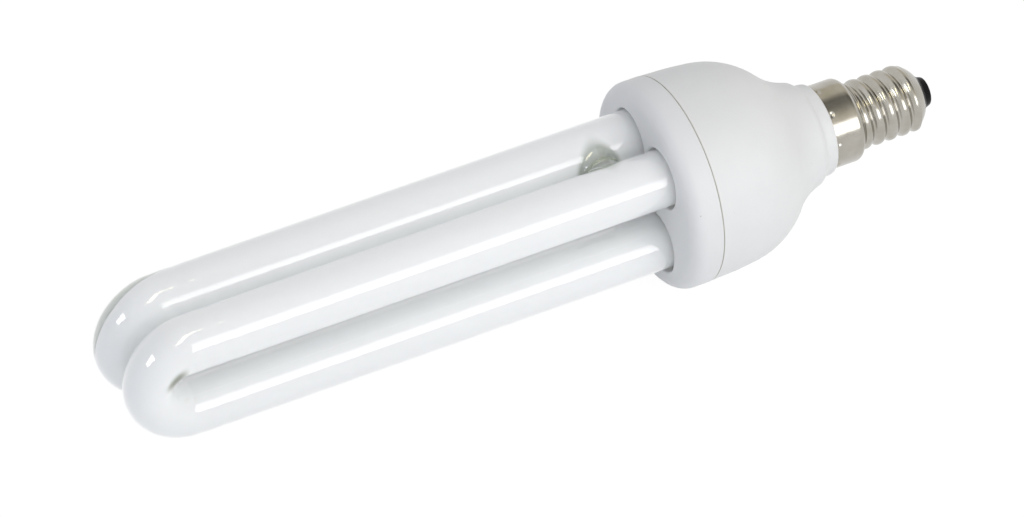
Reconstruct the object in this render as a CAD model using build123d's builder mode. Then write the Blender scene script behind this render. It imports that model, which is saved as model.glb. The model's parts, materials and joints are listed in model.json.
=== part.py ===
"""A small-cap compact fluorescent lamp: two bent discharge tubes in a moulded collar, a domed
housing with the ballast inside, and a nickel-plated screw cap. Millimetres, +Z up.
The lamp lies at rest on its two tube bends and the rim of its collar."""

import os
from math import acos, asin, atan2, cos, degrees, hypot, radians, sin, sqrt, tan

from build123d import *

os.makedirs("parts", exist_ok=True)

# Discharge tube
tube_diameter = 11.4
leg_spacing = 16.3
pair_spacing = 12.9
tube_reach = 100.8
leg_depth = 8.5
bridge_diameter = 7.4
bridge_setback = 9.4
pinch_length = 5.0
pinch_thickness = 2.6
dome_height = 3.4
exhaust_diameter = 3.0
exhaust_length = 2.5

# Collar that holds the tube
collar_margin = 5.0
collar_depth = 6.4
collar_corner = 2.9
face_thickness = 2.0
hole_length_play = 1.3
hole_width_play = 0.4
hole_spread = 0.15
hole_drop = 0.3
hole_edge = 0.4
spigot_length = 3.0
spigot_wall = 1.4
bead_radius = 0.5
bead_setback = 1.0
post_diameter = 3.4
post_count = 4
cement_depth = 3.0

# Domed housing
seam_step = 0.05
seam_bevel = 0.25
draft_angle = 2.5
straight_length = 4.4
swell_radius = 65.0
swell_angle = 8.0
shoulder_radius = 17.4
sweep_radius = 14.0
neck_angle = 16.5
neck_diameter = 21.6
neck_land = 0.3
neck_rounding = 2.2
step_angle = 50.0
step_fillet = 1.7
ring_length = 1.85
ring_taper = 7.0
ring_rounding = 0.5
housing_wall = 1.6
rib_count = 4
rib_width = 1.2
rib_reach = 2.2
rib_length = 3.0

# Screw cap
skirt_diameter = 17.0
skirt_length = 5.4
skirt_rounding = 1.4
shell_thickness = 0.3
thread_crest = 13.85
thread_root = 12.2
thread_pitch = 2.822
thread_turns = 4
thread_rise = 2.5
tip_length = 2.5
tip_slope = 32.0
tip_opening = 9.8
insulator_waist = 3.3
insulator_waist_rise = 1.15
insulator_face = 2.85
insulator_rise = 2.5
insulator_rounding = 0.4
insulator_depth = 3.2
contact_diameter = 3.8
contact_height = 0.3
contact_rounding = 0.2
rivet_diameter = 2.6
stake_depth = 1.6
punch_count = 9
punch_angle = 32.8
punch_setback = 0.9
punch_radius = 1.3
punch_depth = 0.2

# Ballast
board_thickness = 1.6
board_gap = 0.8
capacitor_diameter = 10.0
capacitor_length = 17.0
capacitor_rounding = 0.8
groove_height = 2.0
groove_radius = 0.6
core_width = 11.0
core_height = 8.6
core_depth = 4.6
core_limb = 2.0
bobbin_wall = 0.5
winding_depth = 1.7
ring_core_diameter = 9.0
ring_core_bore = 5.0
ring_core_height = 3.2
ring_winding_wall = 0.5
winding_arc = 250
transistor_diameter = 4.6
transistor_height = 4.6
transistor_pitch = 1.27
transistor_stand = 2.5
transistor_margin = 6.0
transistor_turn = 118
diode_diameter = 2.7
diode_length = 5.2
diode_turns = (62, 94, -94, -62)
rim_margin = 3.25
resistor_diameter = 2.3
resistor_length = 6.2
resistor_turns = (148, -148)
diac_diameter = 1.9
diac_length = 3.8
small_margin = 2.35
small_turn = 121
film_width = 7.0
film_thickness = 3.6
film_height = 7.5
film_rounding = 0.5
side_place = 1.0
drum_diameter = 6.0
drum_height = 7.0
drum_flange = 1.0
fuse_diameter = 4.0
fuse_length = 9.0
fuse_rounding = 0.5
fuse_setback = 2.25
wire_diameter = 0.8
wire_bend = 0.9
wire_headroom = 2.4
lead_diameter = 0.6
lead_reach = 0.9

# Clearances
slide_gap = 0.15
snap_gap = 0.2
bond_gap = 0.05
part_gap = 0.6
wire_gap = 0.45

# The lamp's own frame: z runs along its axis to the cap, from the collar's face; x is up
bend_radius = leg_spacing / 2
tube_radius = tube_diameter / 2
bend_outer = bend_radius + tube_radius
leg_reach = hypot(bend_radius, pair_spacing / 2) + tube_radius
collar_radius = leg_reach + collar_margin
rim_reach = collar_radius - collar_corner
rest_run = tube_reach + collar_corner
rest_tilt = atan2(rim_reach, rest_run) + asin((collar_corner - bend_outer) / hypot(rest_run, rim_reach))

# The housing's turning points, each found from the one before: a drafted wall, a slight swell,
# the shoulder, and the sweep that meets it where their slopes agree
draft = radians(draft_angle)
swell = radians(swell_angle)
neck_slope = radians(neck_angle)
dome_start = (collar_radius - seam_step, collar_depth)
swell_start = (dome_start[0] - straight_length * tan(draft), collar_depth + straight_length)
shoulder_start = (
    swell_start[0] - swell_radius * (cos(draft) - cos(swell)),
    swell_start[1] + swell_radius * (sin(swell) - sin(draft)),
)
neck_radius = neck_diameter / 2
slope = acos(
    (neck_radius + sweep_radius * cos(neck_slope) - shoulder_start[0] + shoulder_radius * cos(swell))
    / (shoulder_radius + sweep_radius)
)
sweep_start = (
    shoulder_start[0] - shoulder_radius * (cos(swell) - cos(slope)),
    shoulder_start[1] + shoulder_radius * (sin(slope) - sin(swell)),
)
neck_start = (neck_radius, sweep_start[1] + sweep_radius * (sin(slope) - sin(neck_slope)))
neck_end = (
    neck_radius - neck_land * tan(neck_slope),
    neck_start[1] + neck_land,
)
step_slope = radians(step_angle)
ring_slope = radians(ring_taper)
step_middle = (
    neck_end[0] - neck_rounding * (cos(neck_slope) - cos(step_slope)),
    neck_end[1] + neck_rounding * (sin(step_slope) - sin(neck_slope)),
)
ring_start = (
    step_middle[0] - step_fillet * (cos(ring_slope) - cos(step_slope)),
    step_middle[1] + step_fillet * (sin(step_slope) - sin(ring_slope)),
)
housing_end = ring_start[1] + ring_length

# Heights along the cap
shell_radius = skirt_diameter / 2
shell_bore = shell_radius - shell_thickness
crest_radius = thread_crest / 2
root_radius = thread_root / 2
flank_radius = (crest_radius + root_radius) / 2
thread_bore = root_radius - shell_thickness
skirt_end = housing_end + skirt_length
thread_start = skirt_end + thread_rise
thread_end = thread_start + thread_turns * thread_pitch
tip_start = thread_end + thread_pitch / 4
tip_bore = tip_opening / 2
tip_heading = (-sin(radians(tip_slope)), cos(radians(tip_slope)))
shell_end = thread_end + tip_length
shoulder_outside = (shell_radius - skirt_rounding, skirt_end + skirt_rounding)
shoulder_inside = (shoulder_outside[0], shoulder_outside[1] - shell_thickness)
insulator_start = shell_end - insulator_depth
insulator_end = shell_end + insulator_rise
contact_radius = contact_diameter / 2
rivet_radius = rivet_diameter / 2
contact_end = insulator_end + contact_height

# Heights and places inside
spigot_end = collar_depth + spigot_length
spigot_radius = dome_start[0] - housing_wall / cos(draft) - spigot_length * tan(draft) - slide_gap
spigot_bore = spigot_radius - spigot_wall
post_place = spigot_bore - post_diameter / 2 + snap_gap
cap_spigot = shell_bore - slide_gap
stake_end = skirt_end - stake_depth
board_start = leg_depth + max(pinch_length, dome_height + exhaust_length) + board_gap
board_end = board_start + board_thickness
capacitor_radius = capacitor_diameter / 2
spool_reach = winding_depth + bobbin_wall + bond_gap
choke_place = capacitor_radius + part_gap + spool_reach + core_depth / 2
ring_core_place = capacitor_radius + part_gap + ring_winding_wall + bond_gap + ring_core_diameter / 2
wire_place = capacitor_radius + wire_gap + wire_diameter / 2
film_place = wire_place + wire_diameter / 2 + part_gap + film_thickness / 2
drum_radius = drum_diameter / 2
drum_place = wire_place + wire_diameter / 2 + part_gap + drum_radius
live_height = board_end + capacitor_length + wire_headroom
neutral_height = stake_end + wire_diameter
neutral_reach = shell_bore - bond_gap
fuse_start = skirt_end - fuse_setback

# The rest pose sets where the lamp's frame stands over the ground
contact_flat = contact_radius - contact_rounding
reach_back = -tube_reach * cos(rest_tilt) - bend_outer
reach_ahead = (
    (contact_end - contact_rounding) * cos(rest_tilt) + contact_flat * sin(rest_tilt) + contact_rounding
)
lamp = Plane(
    origin=(-(reach_back + reach_ahead) / 2, 0, bend_outer + tube_reach * sin(rest_tilt)),
    x_dir=(-sin(rest_tilt), 0, cos(rest_tilt)),
    z_dir=(cos(rest_tilt), 0, sin(rest_tilt)),
)
axis = Axis(lamp.origin, lamp.z_dir)
profile = Plane(origin=lamp.origin, x_dir=lamp.x_dir, z_dir=-lamp.y_dir)


def seat(x, y, z, turn=0):
    """A plane at a point of the lamp, facing the cap, turned about the lamp's axis."""
    point = lamp.from_local_coords(Vector(x, y, z))
    ahead = lamp.from_local_coords(Vector(x + cos(radians(turn)), y + sin(radians(turn)), z))
    return Plane(origin=point, x_dir=ahead - point, z_dir=lamp.z_dir)


def wall(x, y, z, turn=0):
    """The same place, with the plane standing along the lamp's axis; its y runs to the cap."""
    flat = seat(x, y, z, turn)
    return Plane(origin=flat.origin, x_dir=flat.x_dir, z_dir=-flat.y_dir)


def save(piece, name):
    piece.part.label = name
    export_step(piece.part, "parts/" + name + ".step")


def inset(point, angle, depth):
    """A point of the housing's outline moved inwards, square to the outline."""
    return (point[0] - depth * cos(angle), point[1] - depth * sin(angle))


def on_board(place, turn, height=0):
    """A plane at a turn and distance from the axis, at a height over the board."""
    return seat(place * cos(radians(turn)), place * sin(radians(turn)), board_end + height, turn)


def housing_outline(depth):
    """The dome's outline from the seam to the neck, moved inwards by a depth."""
    Line((dome_start[0] - depth / cos(draft), collar_depth), inset(swell_start, draft, depth))
    arcs = ((swell_start, draft), (shoulder_start, swell), (sweep_start, slope), (neck_start, neck_slope))
    for (start, angle), (end, next_angle) in zip(arcs, arcs[1:]):
        heading = (-sin(angle), cos(angle))
        TangentArc(inset(start, angle, depth), inset(end, next_angle, depth), tangent=heading)


def dome_radius(height, depth):
    """The dome's radius at a height between the seam and the sweep, moved inwards by a depth."""
    if height < swell_start[1]:
        return dome_start[0] - (height - collar_depth) * tan(draft) - depth / cos(draft)
    low = height < shoulder_start[1]
    start, angle, radius = (swell_start, draft, swell_radius) if low else (shoulder_start, swell, shoulder_radius)
    centre = inset(start, angle, radius)
    return centre[0] + sqrt((radius - depth) ** 2 - (height - centre[1]) ** 2)


board_radius = dome_radius(board_end, housing_wall) - slide_gap
rim_place = board_radius - rim_margin
small_place = board_radius - small_margin
transistor_place = board_radius - transistor_margin
pinch_half = (tube_diameter - pinch_thickness) / 2

# Where the four legs stand, and their oval holes, whose pattern lies a little off the tube's
legs = [(u * bend_radius, w * pair_spacing / 2) for w in (-1, 1) for u in (1, -1)]
upper_legs = [leg for leg in legs if leg[0] > 0]
lower_legs = [leg for leg in legs if leg[0] < 0]
holes = [(u * (bend_radius + hole_spread) - hole_drop, w * pair_spacing / 2) for w in (-1, 1) for u in (1, -1)]
lead_places = [(u + side * pinch_half / 2, w) for u, w in lower_legs for side in (-1, 1)]

# Centres of the balls that punch the cap's skirt on to the housing
punches = [
    seat(0, 0, housing_end + punch_setback, punch_angle + number * 360 / punch_count)
    for number in range(punch_count)
]
punches = [Plane(origin=ring.origin + ring.x_dir * (shell_radius + punch_radius - punch_depth)) for ring in punches]

# Discharge tube: two bends and four legs, a bridge between the upper legs, domed upper ends
# with an exhaust tip on one, and lower ends pinched flat round the lead wires
with BuildPart() as discharge_tube:
    for w in (-pair_spacing / 2, pair_spacing / 2):
        with BuildSketch(seat(bend_radius, w, -tube_reach)):
            Circle(tube_radius)
        bend_centre = lamp.from_local_coords(Vector(0, w, -tube_reach))
        revolve(axis=Axis(bend_centre, lamp.y_dir), revolution_arc=180)
    with BuildSketch(lamp.offset(-tube_reach)):
        with Locations(*legs):
            Circle(tube_radius)
    extrude(amount=tube_reach + leg_depth)
    bridge = seat(bend_radius, -pair_spacing / 2, -bridge_setback)
    with BuildSketch(Plane(origin=bridge.origin, x_dir=bridge.x_dir, z_dir=bridge.y_dir)):
        Circle(bridge_diameter / 2)
    extrude(amount=pair_spacing)
    for u, w in upper_legs:
        with BuildSketch(wall(u, w, leg_depth)):
            with BuildLine():
                EllipticalCenterArc((0, 0), tube_radius, dome_height, arc_size=90)
                Polyline((0, dome_height), (0, 0), (tube_radius, 0))
            make_face()
        revolve(axis=Axis(seat(u, w, 0).origin, lamp.z_dir))
    with BuildSketch(seat(*upper_legs[0], leg_depth)):
        Circle(exhaust_diameter / 2)
    extrude(amount=dome_height + exhaust_length)
    for u, w in lower_legs:
        with BuildSketch(seat(u, w, leg_depth)) as round_end:
            Circle(tube_radius)
        with BuildSketch(seat(u, w, leg_depth + pinch_length / 2)) as flat_end:
            SlotOverall(tube_diameter, pinch_thickness)
        loft([round_end.sketch, flat_end.sketch])
        extrude(flat_end.sketch, amount=pinch_length / 2)
save(discharge_tube, "discharge_tube")

# Collar: a shallow cup with a round corner and four holes, a spigot with a snap bead that
# enters the housing, and posts that carry the board
with BuildPart() as tube_collar:
    with BuildSketch(profile):
        with BuildLine():
            Polyline((0, face_thickness), (0, 0), (rim_reach, 0))
            TangentArc((rim_reach, 0), (collar_radius, collar_corner), tangent=(1, 0))
            Polyline(
                (collar_radius, collar_corner),
                (collar_radius, collar_depth - seam_bevel),
                (collar_radius - seam_bevel, collar_depth),
                (spigot_radius, collar_depth),
                (spigot_radius, spigot_end),
                (spigot_bore, spigot_end),
                (spigot_bore, face_thickness),
                (0, face_thickness),
            )
        make_face()
    revolve(axis=axis)
    with BuildSketch(profile):
        with Locations((spigot_radius, spigot_end - bead_setback)):
            Circle(bead_radius)
    revolve(axis=axis)
    with BuildSketch(lamp.offset(face_thickness / 2)):
        with PolarLocations(post_place, post_count):
            Circle(post_diameter / 2)
    extrude(amount=board_start - face_thickness / 2)
    with BuildSketch(lamp):
        with Locations(*holes):
            SlotOverall(tube_diameter + hole_length_play, tube_diameter + hole_width_play)
    extrude(amount=face_thickness, mode=Mode.SUBTRACT)
    edges_in_face = tube_collar.edges().filter_by_position(axis, -0.01, 0.01)
    fillet(edges_in_face.sort_by(SortBy.LENGTH)[:-1], hole_edge)
save(tube_collar, "tube_collar")

# Cement poured into the collar round the legs
with BuildPart() as tube_cement:
    with BuildSketch(lamp.offset(face_thickness)):
        Circle(spigot_bore - bond_gap)
        with PolarLocations(post_place, post_count):
            Circle(post_diameter / 2 + bond_gap, mode=Mode.SUBTRACT)
        with Locations(*legs):
            Circle(tube_radius + bond_gap, mode=Mode.SUBTRACT)
    extrude(amount=cement_depth)
save(tube_cement, "tube_cement")

# Rear housing: a thin dome that sweeps into a stepped neck and a spigot for the cap, with a
# groove for the collar's bead, ribs over the board and dents under the cap's punch marks
spigot_inside = cap_spigot - housing_wall
with BuildPart() as rear_housing:
    with BuildSketch(profile):
        with BuildLine():
            Polyline(
                (cap_spigot, housing_end),
                (cap_spigot, stake_end),
                (spigot_inside, stake_end),
                (spigot_inside, housing_end),
                (cap_spigot, housing_end),
            )
        make_face()
    revolve(axis=axis)
    with Locations(*punches):
        Sphere(punch_radius + shell_thickness + slide_gap, mode=Mode.SUBTRACT)
    with BuildSketch(profile):
        with BuildLine():
            ring_end = (ring_start[0] - (ring_length - ring_rounding) * tan(ring_slope), housing_end - ring_rounding)
            rim = (ring_end[0] - ring_rounding, housing_end)
            housing_outline(0)
            Line(neck_start, neck_end)
            TangentArc(neck_end, step_middle, tangent=(-sin(neck_slope), cos(neck_slope)))
            TangentArc(step_middle, ring_start, tangent=(-sin(step_slope), cos(step_slope)))
            Line(ring_start, ring_end)
            TangentArc(ring_end, rim, tangent=(-sin(ring_slope), cos(ring_slope)))
            inner_start = (dome_start[0] - housing_wall / cos(draft), collar_depth)
            inner_end = inset(neck_start, neck_slope, housing_wall)
            housing_outline(housing_wall)
            Polyline(
                rim,
                (spigot_inside, housing_end),
                (spigot_inside, inner_end[1] + inner_end[0] - spigot_inside),
                inner_end,
            )
            Line(inner_start, dome_start)
        make_face()
    revolve(axis=axis)
    with BuildSketch(profile):
        with Locations((spigot_radius, spigot_end - bead_setback)):
            Circle(bead_radius + snap_gap)
    revolve(axis=axis, mode=Mode.SUBTRACT)
    with BuildSketch(lamp.offset(board_end + slide_gap)):
        rib_outer = dome_radius(board_end + slide_gap + rib_length, housing_wall / 2)
        with PolarLocations(rib_outer - rib_reach / 2, rib_count, start_angle=180 / rib_count):
            Rectangle(rib_reach, rib_width)
    extrude(amount=rib_length)
save(rear_housing, "rear_housing")

# Screw cap shell: a plain skirt, a rounded shoulder, the rolled thread and a rounded tip.
# The thread is drawn as closed ridges of its real size and pitch
with BuildPart() as cap_hollow:
    with BuildSketch(profile):
        with BuildLine():
            Polyline((0, shell_end), (0, housing_end), (shell_bore, housing_end), (shell_bore, skirt_end))
            TangentArc((shell_bore, skirt_end), shoulder_inside, tangent=(0, 1))
            Polyline(shoulder_inside, (thread_bore, thread_start), (thread_bore, tip_start))
            TangentArc((thread_bore, tip_start), (tip_bore, shell_end - shell_thickness), tangent=tip_heading)
            Polyline((tip_bore, shell_end - shell_thickness), (tip_bore, shell_end), (0, shell_end))
        make_face()
    revolve(axis=axis)
    with Locations(*punches):
        Sphere(punch_radius + shell_thickness, mode=Mode.SUBTRACT)

with BuildPart() as cap_shell:
    with BuildSketch(profile):
        with BuildLine():
            Polyline((0, shell_end), (0, housing_end), (shell_radius, housing_end), (shell_radius, skirt_end))
            TangentArc((shell_radius, skirt_end), shoulder_outside, tangent=(0, 1))
            Line(shoulder_outside, (flank_radius, thread_start - thread_pitch / 4))
            for turn in range(thread_turns + 1):
                root = thread_start + turn * thread_pitch
                ThreePointArc(
                    (flank_radius, root - thread_pitch / 4),
                    (root_radius, root),
                    (flank_radius, root + thread_pitch / 4),
                )
                if turn < thread_turns:
                    crest = root + thread_pitch / 2
                    ThreePointArc(
                        (flank_radius, crest - thread_pitch / 4),
                        (crest_radius, crest),
                        (flank_radius, crest + thread_pitch / 4),
                    )
            TangentArc((flank_radius, tip_start), (tip_bore, shell_end), tangent=tip_heading)
            Line((tip_bore, shell_end), (0, shell_end))
        make_face()
    revolve(axis=axis)
    add(cap_hollow.part, mode=Mode.SUBTRACT)
    with Locations(*punches):
        Sphere(punch_radius, mode=Mode.SUBTRACT)
save(cap_shell, "cap_shell")

# Glass insulator in the tip of the shell, with a hole for the contact's rivet
insulator_edge = tip_bore - bond_gap
with BuildPart() as cap_insulator:
    with BuildSketch(profile):
        with BuildLine():
            Polyline(
                (rivet_radius + bond_gap, insulator_start),
                (thread_bore - bond_gap, insulator_start),
                (thread_bore - bond_gap, tip_start),
            )
            TangentArc(
                (thread_bore - bond_gap, tip_start),
                (insulator_edge, shell_end - shell_thickness),
                tangent=tip_heading,
            )
            Polyline(
                (insulator_edge, shell_end - shell_thickness),
                (insulator_edge, shell_end),
                (insulator_waist, shell_end + insulator_waist_rise),
                (insulator_face, insulator_end),
                (rivet_radius + bond_gap, insulator_end),
                (rivet_radius + bond_gap, insulator_start),
            )
        make_face()
    revolve(axis=axis)
    fillet(cap_insulator.edges().group_by(axis)[-1].sort_by(SortBy.RADIUS)[-1], insulator_rounding)
save(cap_insulator, "cap_insulator")

# Centre contact with its rivet through the insulator
with BuildPart() as centre_contact:
    with BuildSketch(lamp.offset(insulator_end)):
        Circle(contact_radius)
    extrude(amount=contact_height)
    fillet(centre_contact.edges().group_by(axis)[-1], contact_rounding)
    with BuildSketch(lamp.offset(insulator_start)):
        Circle(rivet_radius)
    extrude(amount=insulator_end - insulator_start)
save(centre_contact, "centre_contact")

# Circuit board, resting on the collar's posts
with BuildPart() as circuit_board:
    with BuildSketch(lamp.offset(board_start)):
        Circle(board_radius)
        with Locations(*lead_places):
            Circle(lead_diameter / 2 + bond_gap, mode=Mode.SUBTRACT)
    extrude(amount=board_thickness)
save(circuit_board, "circuit_board")

# Lead wires of the tube, from the pinched ends through the board
for number, place in enumerate(lead_places, 1):
    with BuildPart() as lead_wire:
        with BuildSketch(seat(*place, leg_depth + pinch_length)):
            Circle(lead_diameter / 2)
        extrude(amount=board_end + lead_diameter - leg_depth - pinch_length)
    save(lead_wire, "lead_wire_" + str(number))

# Smoothing capacitor, standing on the board and reaching into the neck
with BuildPart() as smoothing_capacitor:
    with BuildSketch(lamp.offset(board_end)):
        Circle(capacitor_radius)
    extrude(amount=capacitor_length)
    fillet(smoothing_capacitor.edges().group_by(axis)[-1], capacitor_rounding)
    with BuildSketch(profile):
        with Locations((capacitor_radius + groove_radius / 2, board_end + groove_height)):
            Circle(groove_radius)
    revolve(axis=axis, mode=Mode.SUBTRACT)
save(smoothing_capacitor, "smoothing_capacitor")

# Choke: a ferrite core with two windows, a bobbin on its middle limb and the winding on that
window_width = (core_width - 3 * core_limb) / 2
window_height = core_height - 2 * core_limb
spool_start = board_end + core_limb + bond_gap
spool_height = window_height - 2 * bond_gap
with BuildPart() as choke_core:
    with BuildSketch(wall(choke_place - core_depth / 2, 0, board_end, 90)):
        with Locations((0, core_height / 2)):
            Rectangle(core_width, core_height)
            with Locations(*[(side * (core_limb + window_width) / 2, 0) for side in (-1, 1)]):
                Rectangle(window_width, window_height, mode=Mode.SUBTRACT)
    extrude(amount=core_depth)
save(choke_core, "choke_core")

with BuildPart() as choke_bobbin:
    for height in (0, spool_height - bobbin_wall):
        with BuildSketch(seat(choke_place, 0, spool_start + height)):
            Rectangle(core_depth + 2 * spool_reach, core_limb + 2 * spool_reach)
        extrude(amount=bobbin_wall)
    with BuildSketch(seat(choke_place, 0, spool_start)):
        Rectangle(core_depth + 2 * (bobbin_wall + bond_gap), core_limb + 2 * (bobbin_wall + bond_gap))
    extrude(amount=spool_height)
    with BuildSketch(seat(choke_place, 0, spool_start)):
        Rectangle(core_depth + 2 * bond_gap, core_limb + 2 * bond_gap)
    extrude(amount=spool_height, mode=Mode.SUBTRACT)
save(choke_bobbin, "choke_bobbin")

with BuildPart() as choke_winding:
    with BuildSketch(seat(choke_place, 0, spool_start + bobbin_wall)):
        RectangleRounded(
            core_depth + 2 * spool_reach - slide_gap,
            core_limb + 2 * spool_reach - slide_gap,
            winding_depth / 2,
        )
        Rectangle(
            core_depth + 2 * (bobbin_wall + bond_gap),
            core_limb + 2 * (bobbin_wall + bond_gap),
            mode=Mode.SUBTRACT,
        )
    extrude(amount=spool_height - 2 * bobbin_wall)
save(choke_winding, "choke_winding")

# Ring core of the drive transformer, with its winding wrapped most of the way round
ring_axis = Axis(seat(-ring_core_place, 0, 0).origin, lamp.z_dir)
ring_middle = (ring_core_diameter + ring_core_bore) / 4
ring_limb = (ring_core_diameter - ring_core_bore) / 2
with BuildPart() as ring_core:
    with BuildSketch(seat(-ring_core_place, 0, board_end + ring_winding_wall + bond_gap)):
        Circle(ring_core_diameter / 2)
        Circle(ring_core_bore / 2, mode=Mode.SUBTRACT)
    extrude(amount=ring_core_height)
save(ring_core, "ring_core")

with BuildPart() as ring_winding:
    with BuildSketch(wall(-ring_core_place, 0, board_end)):
        with Locations((ring_middle, ring_core_height / 2 + ring_winding_wall + bond_gap)):
            RectangleRounded(
                ring_limb + 2 * (ring_winding_wall + bond_gap),
                ring_core_height + 2 * (ring_winding_wall + bond_gap),
                ring_winding_wall,
            )
            Rectangle(ring_limb + 2 * bond_gap, ring_core_height + 2 * bond_gap, mode=Mode.SUBTRACT)
    revolve(axis=ring_axis, revolution_arc=winding_arc)
save(ring_winding, "ring_winding")

# Transistors: bodies with one flat side, on three straight legs
for number, turn in enumerate((transistor_turn, -transistor_turn), 1):
    with BuildPart() as transistor:
        with BuildSketch(on_board(transistor_place, turn, transistor_stand)):
            Circle(transistor_diameter / 2)
            with Locations((transistor_diameter / 2, 0)):
                Rectangle(transistor_diameter / 2, transistor_diameter, mode=Mode.SUBTRACT)
        extrude(amount=transistor_height)
        with BuildSketch(on_board(transistor_place, turn)):
            with GridLocations(1, transistor_pitch, 1, 3):
                Circle(lead_diameter / 2)
        extrude(amount=transistor_stand)
    save(transistor, "transistor_" + str(number))


def lying_piece(name, place, turn, diameter, length):
    """A round part lying on the board across its radius, with bent leads down to the board."""
    flat = on_board(place, turn)
    end = length / 2 + lead_reach
    route = [(0, -end, 0), (0, -end, diameter / 2), (0, end, diameter / 2), (0, end, 0)]
    with BuildPart() as piece:
        with BuildLine() as leads:
            FilletPolyline(*[flat.from_local_coords(Vector(*point)) for point in route], radius=diameter / 4)
        with BuildSketch(Plane(origin=flat.from_local_coords(Vector(*route[0])), z_dir=lamp.z_dir)):
            Circle(lead_diameter / 2)
        sweep(path=leads.wire())
        body_origin = flat.from_local_coords(Vector(0, -length / 2, diameter / 2))
        with BuildSketch(Plane(origin=body_origin, x_dir=flat.x_dir, z_dir=flat.y_dir)):
            Circle(diameter / 2)
        extrude(amount=length)
    save(piece, name)


# Rectifier diodes and resistors round the board's rim, and two small parts beside the transistors
for number, turn in enumerate(diode_turns, 1):
    lying_piece("diode_" + str(number), rim_place, turn, diode_diameter, diode_length)
for number, turn in enumerate(resistor_turns, 1):
    lying_piece("resistor_" + str(number), rim_place, turn, resistor_diameter, resistor_length)
lying_piece("trigger_diode", small_place, small_turn, diac_diameter, diac_length)
lying_piece("start_resistor", small_place, -small_turn, diac_diameter, diac_length)

# Film capacitor and filter inductor, on either side of the smoothing capacitor
with BuildPart() as film_capacitor:
    with BuildSketch(seat(side_place, film_place, board_end)):
        RectangleRounded(film_width, film_thickness, film_rounding)
    extrude(amount=film_height)
    fillet(film_capacitor.edges().group_by(axis)[-1], film_rounding)
save(film_capacitor, "film_capacitor")

with BuildPart() as filter_inductor:
    with BuildSketch(wall(side_place, -drum_place, board_end)):
        with BuildLine():
            Polyline((0, drum_height), (0, 0), (drum_radius, 0), (drum_radius, drum_flange))
            ThreePointArc(
                (drum_radius, drum_flange),
                (drum_radius - drum_flange / 2, drum_height / 2),
                (drum_radius, drum_height - drum_flange),
            )
            Polyline((drum_radius, drum_height - drum_flange), (drum_radius, drum_height), (0, drum_height))
        make_face()
    revolve(axis=Axis(seat(side_place, -drum_place, 0).origin, lamp.z_dir))
save(filter_inductor, "filter_inductor")

# Fusible resistor on the lamp's axis, between the live wire and the centre contact
with BuildPart() as fusible_resistor:
    with BuildSketch(lamp.offset(fuse_start)):
        Circle(fuse_diameter / 2)
    extrude(amount=fuse_length)
    fillet(fusible_resistor.edges().filter_by(GeomType.CIRCLE), fuse_rounding)
    with BuildSketch(lamp.offset(live_height + wire_diameter / 2)):
        Circle(lead_diameter / 2)
    extrude(amount=insulator_start - live_height - wire_diameter / 2)
save(fusible_resistor, "fusible_resistor")


def wire(name, points):
    """A stiff wire that starts on the board and turns once."""
    with BuildPart() as piece:
        with BuildLine() as path:
            FilletPolyline(*[lamp.from_local_coords(Vector(*point)) for point in points], radius=wire_bend)
        with BuildSketch(seat(*points[0])):
            Circle(wire_diameter / 2)
        sweep(path=path.wire())
    save(piece, name)


# Live wire to the fusible resistor, and neutral wire trapped between the spigot and the shell
wire("live_wire", [(0, -wire_place, board_end), (0, -wire_place, live_height), (0, lead_diameter, live_height)])
wire("neutral_wire", [(0, wire_place, board_end), (0, wire_place, neutral_height), (0, neutral_reach, neutral_height)])

print("rest tilt", round(degrees(rest_tilt), 3), "length", round(contact_end + tube_reach + bend_outer, 2))
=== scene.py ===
import json
import math

import bmesh
import bpy
import numpy as np
from mathutils import Matrix, Vector


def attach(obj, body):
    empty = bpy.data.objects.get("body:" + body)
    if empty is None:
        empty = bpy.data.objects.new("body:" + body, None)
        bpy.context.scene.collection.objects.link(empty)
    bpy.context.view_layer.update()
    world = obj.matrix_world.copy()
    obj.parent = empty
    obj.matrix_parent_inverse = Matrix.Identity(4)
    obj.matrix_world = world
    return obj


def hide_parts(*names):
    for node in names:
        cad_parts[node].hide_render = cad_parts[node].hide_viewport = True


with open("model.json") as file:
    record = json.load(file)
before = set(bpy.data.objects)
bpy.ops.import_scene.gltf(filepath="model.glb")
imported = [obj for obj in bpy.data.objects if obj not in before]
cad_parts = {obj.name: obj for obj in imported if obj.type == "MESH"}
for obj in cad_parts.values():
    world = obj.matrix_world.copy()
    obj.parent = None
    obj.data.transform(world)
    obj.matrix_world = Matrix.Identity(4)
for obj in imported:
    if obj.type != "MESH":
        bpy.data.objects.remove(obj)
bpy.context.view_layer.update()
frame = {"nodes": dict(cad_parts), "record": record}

# The lamp's own frame, read from the contact's mount: z along its axis to the cap, from the
# collar's face, x up and y towards the viewer. All sizes below are in millimetres
lampFrame = {"contactHeight": 62.594}
mounts = {mount["name"]: mount for mount in frame["record"]["mounts"]}
axisWay = np.array(mounts["contact_face"]["axis"], float)
upWay = np.array([-axisWay[2], 0.0, axisWay[0]])
viewerWay = np.cross(axisWay, upWay)
faceCentre = np.array(mounts["contact_face"]["pos_m"], float) - axisWay * lampFrame["contactHeight"] / 1000


def toWorld(points):  # x up, y to the viewer, z along the axis, in mm, to metres in the scene
    points = np.asarray(points, float) / 1000
    return faceCentre + points[..., :1] * upWay + points[..., 1:2] * viewerWay + points[..., 2:] * axisWay


def linear(hexColour):  # sRGB hex to the linear colour that the shaders take
    parts = np.array([int(hexColour[i:i + 2], 16) for i in (1, 3, 5)]) / 255
    return (*np.where(parts <= 0.04045, parts / 12.92, ((parts + 0.055) / 1.055) ** 2.4), 1.0)


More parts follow.
